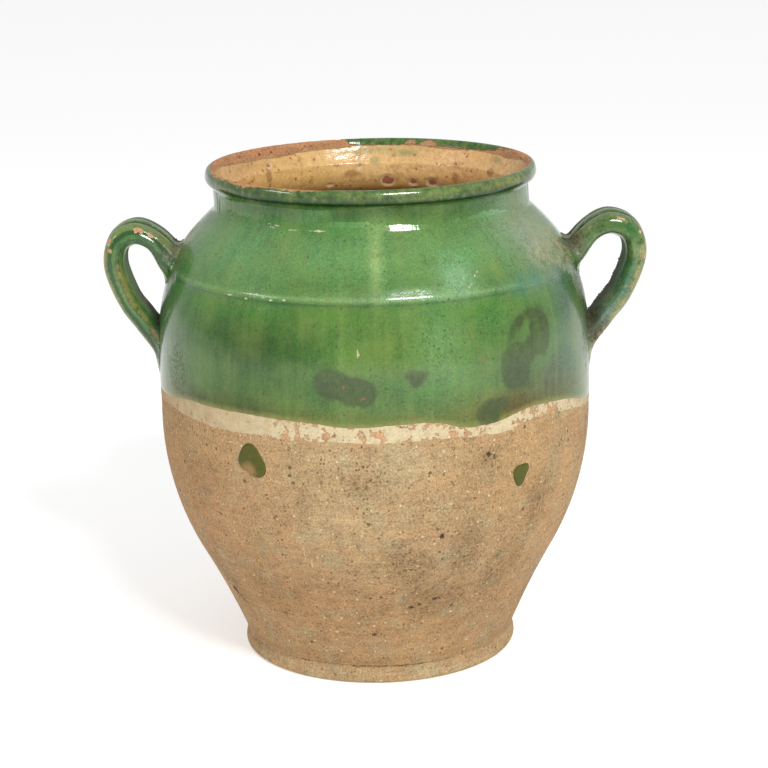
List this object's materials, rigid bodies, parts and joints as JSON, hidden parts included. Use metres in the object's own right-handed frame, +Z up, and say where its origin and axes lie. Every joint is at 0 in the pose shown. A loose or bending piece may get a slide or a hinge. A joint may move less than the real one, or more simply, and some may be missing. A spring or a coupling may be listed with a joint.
{
  "type": "confit pot",
  "caption": "Round-bellied earthenware storage pot with a wide rimmed mouth and ribbed strap handles on its shoulder, glazed above and inside and bare below.",
  "frame": {"origin": "centre of the standing face, on the vessel's own turning axis", "axes": "+Z up along the turning axis, +X towards the handle on the picture's right, +Y away from the camera"},
  "size_m": [0.3492, 0.28, 0.32],
  "materials": {
    "bare_earthenware": "fired and unglazed on the lower wall, green lead-type glaze over white slip above, amber glaze inside",
    "green_glaze": "glossy copper-green glaze, thin and tan on the ribs"
  },
  "bodies": {
    "root": {"thrown_vessel": "bare_earthenware", "left_handle": "green_glaze", "right_handle": "green_glaze"}
  },
  "joints": []
}
